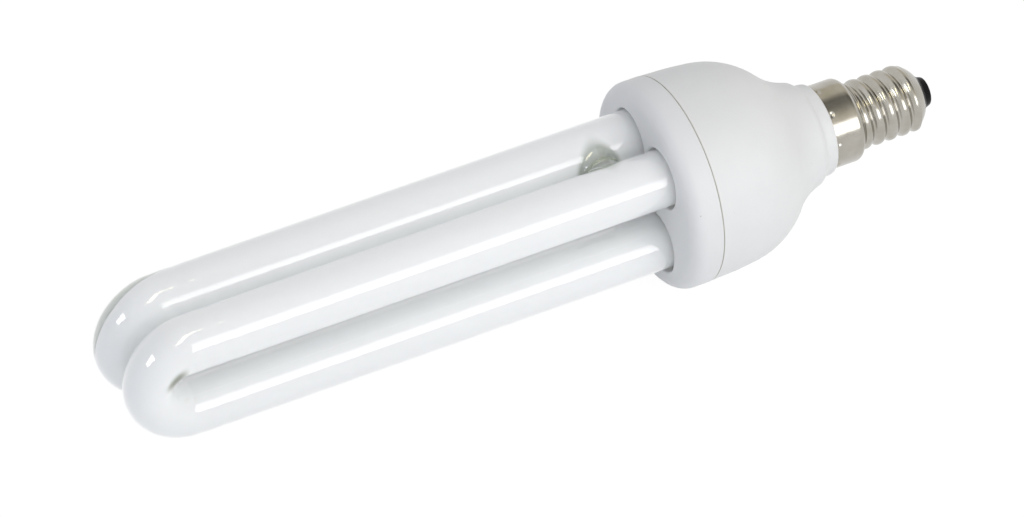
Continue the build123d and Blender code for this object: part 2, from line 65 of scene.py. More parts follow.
def addNode(tree, kind, inputs=(), links=(), **settings):
    # one node with its settings, its plain input values and its links from other sockets
    node = tree.nodes.new(kind)
    for key, value in settings.items():
        setattr(node, key, value)
    for key, value in dict(inputs).items():
        node.inputs[key].default_value = value
    for key, socket in dict(links).items():
        tree.links.new(socket, node.inputs[key])
    return node


def newMaterial(name):
    material = bpy.data.materials.new(name)
    material.use_nodes = True
    material.node_tree.nodes.clear()
    return material, material.node_tree


def output(tree, shader):
    return addNode(tree, "ShaderNodeOutputMaterial", links={"Surface": shader})


def setStops(ramp, first, *rest):  # each stop is a place from 0 to 1 and a linear colour
    stops = ramp.color_ramp.elements
    for place, colour in rest[:-1]:
        stops.new(place).color = colour
    stops[0].position, stops[0].color = first
    stops[-1].position, stops[-1].color = rest[-1]


def seenOutright(tree):
    # 1 for rays from the camera, from a gloss and through glass, and 0 for those that give light
    path = addNode(tree, "ShaderNodeLightPath")
    seen = addNode(tree, "ShaderNodeMath", operation="MAXIMUM",
                   links={0: path.outputs["Is Camera Ray"], 1: path.outputs["Is Glossy Ray"]})
    withGlass = addNode(tree, "ShaderNodeMath", operation="MAXIMUM",
                        links={0: seen.outputs[0], 1: path.outputs["Is Transmission Ray"]})
    return withGlass.outputs[0]


def smoothStep(value, low, high):  # 0 below low, 1 above high, with no corner between
    t = np.clip((value - low) / (high - low), 0, 1)
    return t * t * (3 - 2 * t)


def putMesh(name, points, faces, material, attributes=()):
    # numpy points (n, 3) in mm of the lamp's frame and quads or triangles; smooth, outward faces
    mesh = bpy.data.meshes.new(name)
    mesh.from_pydata(toWorld(points), [], faces.tolist())
    mesh.update()
    for key, values in dict(attributes).items():  # one number or one linear colour a point
        values = np.asarray(values, np.float32)
        if values.ndim == 1:
            mesh.attributes.new(key, "FLOAT", "POINT").data.foreach_set("value", values)
        else:
            colours = np.concatenate([values, np.ones((len(values), 1), np.float32)], 1)
            mesh.attributes.new(key, "FLOAT_COLOR", "POINT").data.foreach_set("color", colours.ravel())
    mesh.polygons.foreach_set("use_smooth", np.ones(len(mesh.polygons), bool))
    mesh.materials.append(material)
    piece = bpy.data.objects.new(name, mesh)
    bpy.context.scene.collection.objects.link(piece)
    return piece


def gridFaces(rows, columns, start=0, flip=False):
    # quads of a grid of rows by columns that closes round its columns
    r, c = np.meshgrid(np.arange(rows - 1), np.arange(columns), indexing="ij")
    n = (c + 1) % columns
    quads = np.stack([r * columns + c, r * columns + n, (r + 1) * columns + n, (r + 1) * columns + c], -1)
    quads = quads.reshape(-1, 4) + start
    return quads[:, ::-1] if flip else quads


def bridgeRows(lowRing, highRing, columns, flip=False):
    # quads between two rings of points that belong to different grids
    c = np.arange(columns)
    n = (c + 1) % columns
    quads = np.stack([lowRing + c, lowRing + n, highRing + n, highRing + c], -1)
    return quads[:, ::-1] if flip else quads


print("materials")

# Sizes in mm; the seam is where the two mouldings meet, as a height over the collar's face, and
# the darker, yellowish line along it fades out between the two distances of its reach
plasticLook = {"collar": "#EAEAEA", "housing": "#EBEBEA", "roughness": 0.55, "cloudScale": 90.0,
               "cloudDim": 0.965, "grainSize": 0.22, "grainDepth": 0.012, "speck": "#8A8378",
               "speckSpacing": 6.5, "speckSize": 0.13, "speckShare": 0.7, "seamLineColour": "#A39C7C",
               "seamAt": 6.35, "seamLineReach": (0.05, 0.22), "seamLineShare": 0.34}


def mouldedPlastic(name, colour):
    # Moulded flame-retardant plastic: matt white, with the fine even grain of a sparked mould,
    # which blurs every highlight, and a slight cloudiness where the melt flowed
    material, tree = newMaterial(name)
    place = addNode(tree, "ShaderNodeTexCoord").outputs["Object"]
    cloud = addNode(tree, "ShaderNodeTexNoise", {"Scale": plasticLook["cloudScale"], "Detail": 3.0},
                    {"Vector": place})
    grain = addNode(tree, "ShaderNodeTexNoise", {"Scale": 1000 / plasticLook["grainSize"], "Detail": 2.0},
                    {"Vector": place})  # the sparked grain, drawn about twice its real size
    base = linear(colour)
    dim = tuple(channel * plasticLook["cloudDim"] for channel in base[:3]) + (1.0,)
    ramp = addNode(tree, "ShaderNodeValToRGB", links={"Fac": cloud.outputs["Fac"]})
    setStops(ramp, (0.3, dim), (0.7, base))
    cells = addNode(tree, "ShaderNodeTexVoronoi", {"Scale": 1000 / plasticLook["speckSpacing"]},
                    {"Vector": place})
    edge = plasticLook["speckSize"] / plasticLook["speckSpacing"]
    dust = addNode(tree, "ShaderNodeMapRange", {"From Min": edge * 0.6, "From Max": edge,
                                                "To Min": plasticLook["speckShare"], "To Max": 0.0},
                   {"Value": cells.outputs["Distance"]})  # small dark specks caught in the melt
    flecked = addNode(tree, "ShaderNodeMixRGB", {"Color2": linear(plasticLook["speck"])},
                      {"Fac": dust.outputs["Result"], "Color1": ramp.outputs["Color"]})
    height = addNode(tree, "ShaderNodeVectorMath", {1: tuple(axisWay * 1000)}, {0: place},
                     operation="DOT_PRODUCT")
    seam = float(faceCentre @ axisWay) * 1000 + plasticLook["seamAt"]
    offSeam = addNode(tree, "ShaderNodeMath", {1: seam}, {0: height.outputs["Value"]},
                      operation="SUBTRACT")
    away = addNode(tree, "ShaderNodeMath", links={0: offSeam.outputs[0]}, operation="ABSOLUTE")
    full, none = plasticLook["seamLineReach"]
    seamDarkening = addNode(tree, "ShaderNodeMapRange", {"From Min": full, "From Max": none,
                                                 "To Min": plasticLook["seamLineShare"], "To Max": 0.0},
                    {"Value": away.outputs[0]})  # a darker, yellowish line along the seam, in mm from its middle
    seamLined = addNode(tree, "ShaderNodeMixRGB", {"Color2": linear(plasticLook["seamLineColour"])},
                      {"Fac": seamDarkening.outputs["Result"], "Color1": flecked.outputs["Color"]})
    bump = addNode(tree, "ShaderNodeBump", {"Strength": 0.35, "Distance": plasticLook["grainDepth"] / 1000},
                   {"Height": grain.outputs["Fac"]})
    shader = addNode(tree, "ShaderNodeBsdfPrincipled", {"Roughness": plasticLook["roughness"], "IOR": 1.49},
                     {"Base Color": seamLined.outputs["Color"], "Normal": bump.outputs["Normal"]})
    output(tree, shader.outputs["BSDF"])
    return material


# The window colour is painted shade: the dim inside of the tube as seen through the bare glass round the
# bridge
tubeLook = {"glass": "#FEFFFE", "phosphor": "#FDFDFD", "windowPaintedShade": "#C2C5C0", "worn": "#70755F",
            "band": "#CDD0CA", "bandLine": "#989D96", "joint": "#D3D8C9"}


def clearGlass():
    # Drawn soda-lime tube glass: clear with a faint green cast in its edges, sharp reflections.
    # Shadow and diffuse rays pass straight through, so the coating inside is lit as in the open
    material, tree = newMaterial("drawnTubeGlass")
    path = addNode(tree, "ShaderNodeLightPath")
    either = addNode(tree, "ShaderNodeMath", operation="MAXIMUM",
                     links={0: path.outputs["Is Shadow Ray"], 1: path.outputs["Is Diffuse Ray"]})
    glass = addNode(tree, "ShaderNodeBsdfPrincipled",
                    {"Base Color": linear(tubeLook["glass"]), "Roughness": 0.0, "IOR": 1.5,
                     "Transmission Weight": 1.0, "Coat Weight": 1.0, "Coat Roughness": 0.06, "Coat IOR": 1.5})
    through = addNode(tree, "ShaderNodeBsdfTransparent", {"Color": (0.995, 1.0, 0.997, 1.0)})
    mixed = addNode(tree, "ShaderNodeMixShader",
                    links={0: either.outputs[0], 1: glass.outputs["BSDF"], 2: through.outputs["BSDF"]})
    output(tree, mixed.outputs["Shader"])
    return material


def phosphorCoating():
    # Phosphor powder washed on to the glass: dead matt and white, with faint clouds of uneven
    # thickness; the piece's own colours hold where it is thin or worn, and where it is wiped off
    # round the bridge they are painted shade, a grey for the dim inside seen through the bare glass
    material, tree = newMaterial("phosphorPowderCoating")
    place = addNode(tree, "ShaderNodeTexCoord").outputs["Object"]
    cloud = addNode(tree, "ShaderNodeTexNoise", {"Scale": 160.0, "Detail": 4.0}, {"Vector": place})
    ramp = addNode(tree, "ShaderNodeValToRGB", links={"Fac": cloud.outputs["Fac"]})
    setStops(ramp, (0.25, (0.98, 0.98, 0.975, 1)), (0.75, (1, 1, 1, 1)))
    powderAndPaintedShade = addNode(tree, "ShaderNodeAttribute", attribute_name="powderAndPaintedShade")
    clouded = addNode(tree, "ShaderNodeMixRGB", {"Fac": 1.0}, blend_type="MULTIPLY",
                      links={"Color1": powderAndPaintedShade.outputs["Color"], "Color2": ramp.outputs["Color"]})
    shader = addNode(tree, "ShaderNodeBsdfPrincipled",
                     {"Roughness": 1.0, "Specular IOR Level": 0.0, "Subsurface Weight": 1.0,
                      "Subsurface Radius": (1.0, 1.0, 0.95), "Subsurface Scale": 0.008},
                     {"Base Color": clouded.outputs["Color"]})
    output(tree, shader.outputs["BSDF"])
    return material


def fusedJoint():
    # The bead where the two necks were melted together: thick glass, so its green cast shows
    material, tree = newMaterial("fusedGlassBead")
    place = addNode(tree, "ShaderNodeTexCoord").outputs["Object"]
    ripple = addNode(tree, "ShaderNodeTexNoise", {"Scale": 700.0, "Detail": 2.0}, {"Vector": place})
    bump = addNode(tree, "ShaderNodeBump", {"Strength": 0.5, "Distance": 0.00015},
                   {"Height": ripple.outputs["Fac"]})
    shader = addNode(tree, "ShaderNodeBsdfPrincipled",
                     {"Base Color": linear(tubeLook["joint"]), "Roughness": 0.06, "IOR": 1.5,
                      "Transmission Weight": 0.75},
                     {"Normal": bump.outputs["Normal"]})
    output(tree, shader.outputs["BSDF"])
    return material


nickelLook = {"dull": "#A7A399", "bright": "#B6B3AC", "roughness": (0.14, 0.22)}


def nickelPlate():
    # Bright nickel over pressed brass: mirror-like and warm grey, with faint stains that dull it
    # here and there and a slight ripple that softens long reflections
    material, tree = newMaterial("nickelPlatedBrass")
    place = addNode(tree, "ShaderNodeTexCoord").outputs["Object"]
    ripple = addNode(tree, "ShaderNodeTexNoise", {"Scale": 450.0, "Detail": 2.0}, {"Vector": place})
    stain = addNode(tree, "ShaderNodeTexNoise", {"Scale": 300.0, "Detail": 5.0}, {"Vector": place})
    shade = addNode(tree, "ShaderNodeValToRGB", links={"Fac": stain.outputs["Fac"]})
    setStops(shade, (0.3, linear(nickelLook["dull"])), (0.7, linear(nickelLook["bright"])))
    smooth, rubbed = nickelLook["roughness"]
    rough = addNode(tree, "ShaderNodeMapRange", {"To Min": smooth, "To Max": rubbed},
                    {"Value": stain.outputs["Fac"]})
    bump = addNode(tree, "ShaderNodeBump", {"Strength": 0.1, "Distance": 0.00002},
                   {"Height": ripple.outputs["Fac"]})
    shader = addNode(tree, "ShaderNodeBsdfPrincipled", {"Metallic": 1.0},
                     {"Base Color": shade.outputs["Color"], "Roughness": rough.outputs["Result"],
                      "Normal": bump.outputs["Normal"]})
    output(tree, shader.outputs["BSDF"])
    return material


def mottled(name, dark, light, size, roughness, metallic=0.0, depth=0.02, gloss=0.5):
    # A two-colour cloud with a fine bump, for surfaces whose name says how they were made. The
    # grain's size and depth are in mm
    material, tree = newMaterial(name)
    place = addNode(tree, "ShaderNodeTexCoord").outputs["Object"]
    noise = addNode(tree, "ShaderNodeTexNoise", {"Scale": 1000 / size, "Detail": 3.0}, {"Vector": place})
    ramp = addNode(tree, "ShaderNodeValToRGB", links={"Fac": noise.outputs["Fac"]})
    setStops(ramp, (0.3, linear(dark)), (0.7, linear(light)))
    bump = addNode(tree, "ShaderNodeBump", {"Strength": 0.3, "Distance": depth / 1000},
                   {"Height": noise.outputs["Fac"]})
    shader = addNode(tree, "ShaderNodeBsdfPrincipled",
                     {"Roughness": roughness, "Metallic": metallic, "Specular IOR Level": gloss},
                     {"Base Color": ramp.outputs["Color"], "Normal": bump.outputs["Normal"]})
    output(tree, shader.outputs["BSDF"])
    return material


collarPlastic = mouldedPlastic("mouldedCollarPlastic", plasticLook["collar"])
housingPlastic = mouldedPlastic("mouldedHousingPlastic", plasticLook["housing"])
tubeGlass = clearGlass()
phosphor = phosphorCoating()
beadGlass = fusedJoint()
nickel = nickelPlate()
capGlass = mottled("fusedBlackGlass", "#020203", "#060607", 1.2, 0.3, depth=0.01, gloss=0.12)
solder = mottled("solderedContact", "#B5B1A8", "#CFCBC2", 0.8, 0.3, metallic=1.0)
# What the ballast is made of; all of it lies inside the closed housing
ballastLooks = {
    "tube_cement": mottled("castTubeCement", "#B3ADA0", "#C9C4B8", 0.5, 0.85),
    "circuit_board": mottled("phenolicPaperBoard", "#8A6A3A", "#A07E48", 0.6, 0.5),
    "smoothing_capacitor": mottled("shrunkCapacitorSleeve", "#15161C", "#20222B", 3.0, 0.3),
    "choke_core": mottled("sinteredFerrite", "#2B2B2E", "#3A3A3E", 0.3, 0.6),
    "choke_bobbin": mottled("mouldedBobbinNylon", "#D8D2BE", "#E3DECE", 1.0, 0.45),
    "choke_winding": mottled("enamelledCopperWire", "#8A4A22", "#A65E2E", 0.25, 0.3),
    "transistor": mottled("mouldedEpoxyCase", "#121212", "#1E1E1E", 0.3, 0.5),
    "resistor": mottled("lacqueredResistor", "#B08C5E", "#C7A77C", 0.8, 0.4),
    "trigger_diode": mottled("sealedDiodeGlass", "#A4502C", "#BC6840", 0.8, 0.15),
    "film_capacitor": mottled("dippedEpoxy", "#8A3A22", "#A34A2E", 0.8, 0.3),
    "wire": mottled("tinnedCopperWire", "#B9B8B4", "#CFCECA", 0.4, 0.3, metallic=1.0),
}
# The nodes that each look is for, where it isn't the node of the same name alone
sameLook = {
    "choke_core": ["choke_core", "ring_core", "filter_inductor"],
    "choke_winding": ["choke_winding", "ring_winding"],
    "transistor": ["transistor_1", "transistor_2", "diode_1", "diode_2", "diode_3", "diode_4"],
    "resistor": ["resistor_1", "resistor_2", "start_resistor", "fusible_resistor"],
    "wire": ["live_wire", "neutral_wire", "lead_wire_1", "lead_wire_2", "lead_wire_3", "lead_wire_4"],
}


def dress(node, material):
    for slot in frame["nodes"][node].material_slots:
        slot.material = material


for look, material in ballastLooks.items():
    for node in sameLook.get(look, [look]):
        dress(node, material)
dress("tube_collar", collarPlastic)
dress("rear_housing", housingPlastic)
dress("cap_insulator", capGlass)
dress("centre_contact", solder)

print("discharge tube")

tube = {
    "outerRadius": 5.7, "wall": 0.85, "coatingDepth": 0.1, "legSpacing": 16.3, "pairSpacing": 12.9,
    "reach": 100.8, "topEnd": 6.0, "bridgeSetback": 9.4, "bridgeRadius": 3.7, "around": 128,
    "pull": 2.0, "pullAt": 1.35, "pullSpread": 1.3,  # the inner wall's hump, in radians of the bend
    "ripple": 0.09, "rippleLength": 4.6, "rippleEnd": (4, 14),  # and how far from the bend it fades
    "glassMouth": (4.7, 2.4), "innerMouth": (4.0, 1.8), "mouthSnap": 0.6,
    "beadRadius": 0.42, "beadSwell": 0.2,
}


def folded(radius):
    # Centre line: down the upper leg, round a half circle and up the lower leg. Each point of the
    # skin is centre + radius * (cos(turn) * outward + sin(turn) * y). Inside the bend the wall is
    # pulled out: there radius - pull * a smooth hump of the bend's angle * ((1 - cos(turn)) / 2)^2.
    # Where the legs were heated for the bend the glass is slightly wavy: radius - ripple *
    # (1 + sin(the way along the leg + 2 * cos(turn))) / 2. Rows lie closer near bridge and bends
    half = tube["legSpacing"] / 2
    nearBridge = -tube["bridgeSetback"] + np.arange(-6.0, 6.01, 0.3)
    nearBend = np.linspace(-81, -tube["reach"], 24)
    above = [tube["topEnd"], 3.0, 1.0]
    upper = np.concatenate([above, nearBridge[::-1], np.linspace(-17, -80, 14), nearBend])
    upper = np.sort(upper)[::-1]
    bend = np.linspace(0, math.pi, 49)[1:-1]
    lower = np.concatenate([nearBend[::-1], np.linspace(-80, tube["topEnd"], 20)])
    x = np.concatenate([np.full(len(upper), half), half * np.cos(bend), np.full(len(lower), -half)])
    z = np.concatenate([upper, -tube["reach"] - half * np.sin(bend), lower])
    lean = np.concatenate([np.zeros(len(upper)), bend, np.full(len(lower), math.pi)])
    turn = np.linspace(0, 2 * math.pi, tube["around"], endpoint=False)
    outX, outZ = np.cos(lean)[:, None], -np.sin(lean)[:, None]
    hump = (1 - smoothStep(np.abs(lean - tube["pullAt"]), 0.1, tube["pullSpread"]))[:, None]
    alongBend = -half * np.minimum(lean, math.pi - lean)
    fromBend = np.where(z < -tube["reach"], alongBend, z + tube["reach"])[:, None]
    wave = (1 + np.sin(2 * math.pi * fromBend / tube["rippleLength"] + 2 * np.cos(turn))) / 2
    wave = wave * smoothStep(fromBend, -4, 0) * (1 - smoothStep(fromBend, *tube["rippleEnd"]))
    skin = radius - tube["pull"] * hump * ((1 - np.cos(turn)) / 2) ** 2 - tube["ripple"] * wave
    points = np.stack([
        x[:, None] + skin * np.cos(turn) * outX,
        np.full((len(x), 1), tube["pairSpacing"] / 2) + skin * np.sin(turn) + 0 * outX,
        z[:, None] + skin * np.cos(turn) * outZ,
    ], -1)
    return points, lean, turn


def drawnToBridge(points, radius, neck, start, core):
    # The upper leg's skin is drawn out to the mid-plane round the bridge. With d the distance from
    # the bridge's axis, s runs from 0 at d = start to 1 at d = core, the new distance is
    # neck + (start - neck) * (1 - sin(s * pi / 2)) and the height over the mid-plane is the
    # leg's own height there * cos(s * pi / 2)
    half, side = tube["legSpacing"] / 2, tube["pairSpacing"] / 2
    u, w = points[..., 0] - half, points[..., 2] + tube["bridgeSetback"]
    d = np.hypot(u, w)
    near = (d < start) & (points[..., 1] < side)
    s = np.clip((start - d) / (start - core), 0, 1)
    newD = neck + (start - neck) * (1 - np.sin(s * math.pi / 2))
    newD = np.where(d < core, neck * np.minimum(1, d / (core - tube["mouthSnap"])), newD)
    scale = newD / np.maximum(d, 1e-6)
    newU, newW = u * scale, w * scale
    height = (side - np.sqrt(np.maximum(radius**2 - newU**2, 0))) * np.cos(s * math.pi / 2)
    moved = np.stack([half + newU, height, newW - tube["bridgeSetback"]], -1)
    result = np.where(near[..., None], moved, points)
    return result, near & (d < core)


def tubeShell():
    # Outer and inner skins of both folded tubes, open to each other through the bridge, and
    # closed by a ring at each leg's end
    outer = tube["outerRadius"]
    inner = outer - tube["wall"]
    neck = tube["bridgeRadius"]
    allPoints, allFaces, start = [], [], 0
    for mirror in (1, -1):
        rings = []
        for radius, ringNeck, mouth, turned in ((outer, neck, tube["glassMouth"], False),
                                                (inner, neck - tube["wall"], tube["innerMouth"], True)):
            points, gone = drawnToBridge(folded(radius)[0], radius, ringNeck, *mouth)
            points = points * (1, mirror, 1)
            rows, columns = points.shape[:2]
            faces = gridFaces(rows, columns, flip=turned != (mirror < 0))
            faces = faces[~gone.ravel()[faces].all(1)] + start
            allPoints.append(points.reshape(-1, 3))
            allFaces.append(faces)
            rings.append((start, start + (rows - 1) * columns))
            start += rows * columns
        allFaces.append(bridgeRows(rings[0][0], rings[1][0], columns, flip=mirror > 0))
        allFaces.append(bridgeRows(rings[0][1], rings[1][1], columns, flip=mirror < 0))
    piece = putMesh("discharge_glass", np.concatenate(allPoints), np.concatenate(allFaces), tubeGlass)
    work = bmesh.new()
    work.from_mesh(piece.data)
    bmesh.ops.remove_doubles(work, verts=work.verts, dist=0.00001)
    loose = [vert for vert in work.verts if not vert.link_faces]  # left inside the mouths
    bmesh.ops.delete(work, geom=loose, context="VERTS")
    volume = work.calc_volume(signed=True)
    openEdges = sum(1 for edge in work.edges if not edge.is_manifold)
    print("glass volume mm3", volume * 1e9, "open edges", openEdges)
    if volume < 0:
        bmesh.ops.reverse_faces(work, faces=work.faces)
    work.to_mesh(piece.data)
    work.free()
    return piece


def tinted(colours, hexColour, share):  # part of the way to another colour, point by point
    return colours + (np.array(linear(hexColour)[:3]) - colours) * share[..., None]


# Where the powder is wiped, worn or thin: mm round the bridge's mouths, and radians of the bend and
# round the tube, each from full to none. Where it is wiped, grey is painted as shade of the dim
# inside seen through the bare glass. The thin band's edge is given as degrees round the tube
# at degrees of the bend, which run on along the legs at bandRunOn degrees a mm
coatingWear = {
    "windowPaintedShade": (3.8, 5.2), "wornBend": 0.85, "wornBendReach": (0.1, 0.55), "wornTurn": 1.88,
    "wornTurnReach": (0.1, 0.46), "bandAt": (-25, 0, 20, 45, 70, 90, 110, 130),
    "bandEdge": (56, 35, 23, 12, 8, 9, 18, 42), "bandRunOn": 7, "bandStart": (-40, -20),
    "bandEnd": (120, 150), "bandFade": (0.55, 0.95), "bandLineWidth": 0.05,
}


def coatingSkin():
    # The phosphor on the inner wall of both folded tubes, by the folded skin's formula, and its
    # colours: wiped round the bridge's mouths, with grey painted there as shade of the dim inside seen
    # through the bare glass, worn inside the front bend, and on the outside of
    # the back bend a band of thin powder with a darker line at its edge
    wear = coatingWear
    radius = tube["outerRadius"] - tube["wall"] + tube["coatingDepth"]
    allPoints, allFaces, colours, start = [], [], [], 0
    for mirror in (1, -1):
        points, lean, turn = folded(radius)
        rows, columns = points.shape[:2]
        bend = lean[:, None] + 0 * turn
        colour = np.tile(np.array(linear(tubeLook["phosphor"])[:3]), (rows, columns, 1))
        d = np.hypot(points[..., 0] - tube["legSpacing"] / 2, points[..., 2] + tube["bridgeSetback"])
        facing = points[..., 1] < tube["pairSpacing"] / 2
        # Painted shade: where the powder is wiped off round the bridge, grey stands for the dim inside seen
        # through the bare glass
        wipedWithPaintedShade = (1 - smoothStep(d, *wear["windowPaintedShade"])) * facing
        colour = tinted(colour, tubeLook["windowPaintedShade"], wipedWithPaintedShade)
        if mirror > 0:
            worn = ((1 - smoothStep(np.abs(bend - wear["wornBend"]), *wear["wornBendReach"]))
                    * (1 - smoothStep(np.abs(turn - wear["wornTurn"]), *wear["wornTurnReach"])))
            colour = tinted(colour, tubeLook["worn"], worn)
        else:
            onUpperLeg = bend < 0.01
            upTheLeg = np.minimum(-tube["reach"] - points[..., 2], 0) * onUpperLeg
            run = np.degrees(bend) + upTheLeg * wear["bandRunOn"]
            over = turn - np.radians(np.interp(run, wear["bandAt"], wear["bandEdge"]))
            onBend = smoothStep(run, *wear["bandStart"]) * (1 - smoothStep(run, *wear["bandEnd"]))
            band = smoothStep(over, 0, wear["bandLineWidth"]) * (1 - smoothStep(over, *wear["bandFade"]))
            line = np.clip(1 - np.abs(over) / wear["bandLineWidth"], 0, 1) * onBend
            colour = tinted(colour, tubeLook["band"], band * onBend)
            colour = tinted(colour, tubeLook["bandLine"], line)
        points = points * (1, mirror, 1)
        allPoints.append(points.reshape(-1, 3))
        allFaces.append(gridFaces(rows, columns, start, flip=mirror > 0))
        colours.append(colour.reshape(-1, 3))
        start += rows * columns
    return putMesh("phosphor_coating", np.concatenate(allPoints), np.concatenate(allFaces), phosphor,
                   {"powderAndPaintedShade": np.concatenate(colours)})


def bridgeBead():
    # The bead round the bridge's middle: a ring whose section is a circle that swells and thins
    # twice round, radius * (1 + swell * cos(2 * round)), sunk a little into the bridge
    ringRows, ringColumns, sunk = 72, 20, 0.2
    rounds = np.linspace(0, 2 * math.pi, ringRows, endpoint=False)[:, None]
    section = np.linspace(0, 2 * math.pi, ringColumns, endpoint=False)[None, :]
    thick = tube["beadRadius"] * (1 + tube["beadSwell"] * np.cos(2 * rounds))
    out = tube["bridgeRadius"] - sunk + thick * np.cos(section)
    points = np.stack([tube["legSpacing"] / 2 + out * np.cos(rounds),
                       thick * np.sin(section) + 0 * rounds,
                       -tube["bridgeSetback"] + out * np.sin(rounds)], -1)
    faces = gridFaces(ringRows + 1, ringColumns) % (ringRows * ringColumns)
    return putMesh("bridge_bead", points.reshape(-1, 3), faces, beadGlass)


def signedVolume(piece):  # positive where the faces point outwards
    work = bmesh.new()
    work.from_mesh(piece.data)
    volume = work.calc_volume(signed=True) * 1e9
    work.free()
    return round(volume, 1)


glassPiece = tubeShell()
coatPiece = coatingSkin()
beadPiece = bridgeBead()
for piece in (glassPiece, coatPiece, beadPiece):
    print(piece.name, "volume in cubic mm", signedVolume(piece))
    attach(piece, "root")
    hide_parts("discharge_tube")

print("screw cap")

# Heights along the axis, radii and lengths in mm, and turns in degrees from straight up
cap = {
    "start": 38.106, "skirtRadius": 8.5, "skirtEnd": 43.506, "rounding": 1.4, "shell": 0.3,
    "rimEdge": 0.08, "neckLength": 0.55, "neckCurve": 0.8, "around": 320,
    "crest": 6.925, "root": 6.1, "pitch": 2.822, "fullness": 0.5, "crestAt": 46.65, "crestTurn": 133.0,
    "threadIn": (44.8, 45.6), "threadOut": (57.2, 58.0), "outShare": 0.6, "outRise": 0.4,
    "tipStart": 58.0, "tipEnd": 59.794, "tipWide": 6.512, "tipRadius": 4.9, "tipBulge": 0.1,
    "punches": 9, "punchTurn": 32.8, "punchHeight": 38.72, "punchBall": 1.0, "punchDepth": 0.2,
}


def threadRadius(height, turn):
    # Rolled round thread: with t the angle of a pitch from a crest of the helix, the radius is
    # middle + rise * cos(t - fullness * sin(t)), which gives broad crests and narrower roots
    rise, middle = (cap["crest"] - cap["root"]) / 2, (cap["crest"] + cap["root"]) / 2
    turns = (turn - math.radians(cap["crestTurn"])) / (2 * math.pi)
    crestHeight = cap["crestAt"] + cap["pitch"] * turns
    t = 2 * math.pi * (height - crestHeight) / cap["pitch"]
    return middle + rise * np.cos(t - cap["fullness"] * np.sin(t))


def capShell():
    # One grid round the axis: each row has a height, a plain radius and whether it carries thread.
    # The radius is plain + threaded * (outRise * nearTip + fade * (threadRadius - root)) - dent,
    # where a dent is the part over 0 of sqrt(ball^2 - away^2) - (ball - depth), with away the
    # distance from the nearest punch. The thread fades in over threadIn and loses outShare of its
    # depth over threadOut
    rim, first, end, edge = cap["skirtRadius"], cap["start"], cap["skirtEnd"], cap["rimEdge"]
    punchRowsEnd, punchStep, threadStep = 40.0, 0.08, 0.085
    neckRadius, neckAt = rim - cap["rounding"], end + cap["rounding"]
    tipHigh, tipIn = cap["tipEnd"] - cap["tipStart"], cap["tipWide"] - cap["tipRadius"]
    # The tip's arc is a line and a bulge square to it
    bulge = 4 * cap["tipBulge"] / math.hypot(tipHigh, tipIn)
    opening = cap["tipRadius"] - 0.02
    quarter = np.linspace(0, math.pi / 2, 14)[1:]
    rows = [(first, rim - cap["shell"], 0), (first, rim - edge, 0), (first + edge, rim, 0)]
    rows += [(height, rim, 0) for height in np.arange(first + 2 * edge, punchRowsEnd, punchStep)]
    rows += [(height, rim, 0) for height in np.linspace(punchRowsEnd + 0.2, end, 12)]
    rows += [(end + cap["rounding"] * math.sin(a), rim - cap["rounding"] * (1 - math.cos(a)), 0)
             for a in quarter]
    rows += [(neckAt + cap["neckLength"] * math.sin(a),
              neckRadius - (neckRadius - cap["root"]) * (1 - math.cos(a)) ** cap["neckCurve"], 0)
             for a in quarter]
    rows += [(height, cap["root"], 1)
             for height in np.arange(neckAt + cap["neckLength"] + 0.07, cap["tipStart"] - 0.05, threadStep)]
    rows += [(cap["tipStart"] + t * tipHigh + bulge * t * (1 - t) * tipIn,
              cap["tipWide"] - t * tipIn + bulge * t * (1 - t) * tipHigh, 0) for t in np.linspace(0, 1, 14)]
    rows += [(cap["tipEnd"], opening, 0), (cap["tipEnd"] - cap["shell"], opening, 0)]
    rows = np.array(rows, float)
    height, plain, threaded = rows[:, 0][:, None], rows[:, 1][:, None], rows[:, 2][:, None]
    turn = np.linspace(0, 2 * math.pi, cap["around"], endpoint=False)[None, :]
    nearTip = smoothStep(height, *cap["threadOut"])
    fade = smoothStep(height, *cap["threadIn"]) * (1 - cap["outShare"] * nearTip)
    radius = plain + threaded * (cap["outRise"] * nearTip
                                 + fade * (threadRadius(height, turn) - cap["root"]))
    step = 2 * math.pi / cap["punches"]
    near = np.mod(turn - math.radians(cap["punchTurn"]) + step / 2, step) - step / 2
    away = np.hypot(near * rim, height - cap["punchHeight"])
    ball, deep = cap["punchBall"], cap["punchDepth"]
    radius = radius - np.maximum(np.sqrt(np.maximum(ball**2 - away**2, 0)) - (ball - deep), 0)
    points = np.stack([radius * np.cos(turn), radius * np.sin(turn), height + 0 * turn], -1)
    faces = gridFaces(len(rows), cap["around"])
    return putMesh("cap_shell_threaded", points.reshape(-1, 3), faces, nickel)


capPiece = capShell()
print("cap_shell_threaded volume in cubic mm", signedVolume(capPiece))
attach(capPiece, "root")
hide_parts("cap_shell")

print("floor, lamps and camera")

# Lengths in metres; the softbox's way is towards it, in the lamp's own frame
studio = {
    "floorReach": 3.0, "floorWhite": 0.955, "floorShade": 0.09, "paper": (0.93, 0.945, 0.965, 1),
    "worldLight": 0.67, "fromBends": (0.83, 0.865, 0.96, 1), "fromCap": (0.72, 0.72, 0.71, 1),
    "softboxWay": (0.54, 0.78, 0.31), "softboxDistance": 0.7, "softboxWidth": 0.5,
    "softboxLength": 0.5, "softboxLight": 2.2,
}


